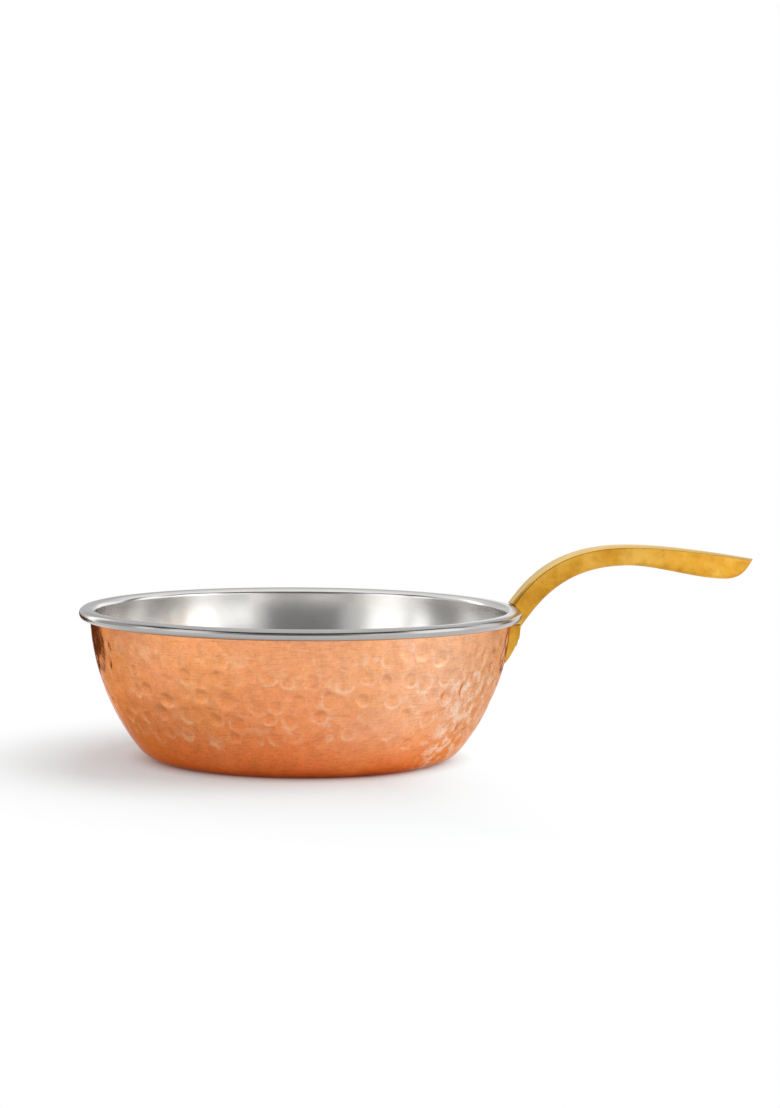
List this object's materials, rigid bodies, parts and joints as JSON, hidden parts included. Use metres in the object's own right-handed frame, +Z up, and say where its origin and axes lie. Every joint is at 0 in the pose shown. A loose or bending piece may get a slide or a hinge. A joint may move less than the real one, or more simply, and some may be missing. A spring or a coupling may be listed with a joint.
{
  "type": "serving pan",
  "caption": "Small round serving pan with a hammered copper outside, a smooth steel inside with a rolled rim, and one S-curved cast brass handle riveted to the wall.",
  "frame": {"origin": "centre of the flat underside of the base, on the bowl's axis", "axes": "+X along the handle, away from the bowl; +Z up, along the bowl's axis"},
  "size_m": [0.2588, 0.165, 0.0785],
  "materials": {
    "bowl_steel": "polished",
    "shell_copper": "hammered and polished copper",
    "handle_brass": "cast and polished",
    "rivet_steel": "polished"
  },
  "bodies": {
    "root": {"steel_bowl": "bowl_steel", "copper_shell": "shell_copper", "brass_handle": "handle_brass", "rivet_left": "rivet_steel", "rivet_right": "rivet_steel"}
  },
  "joints": []
}
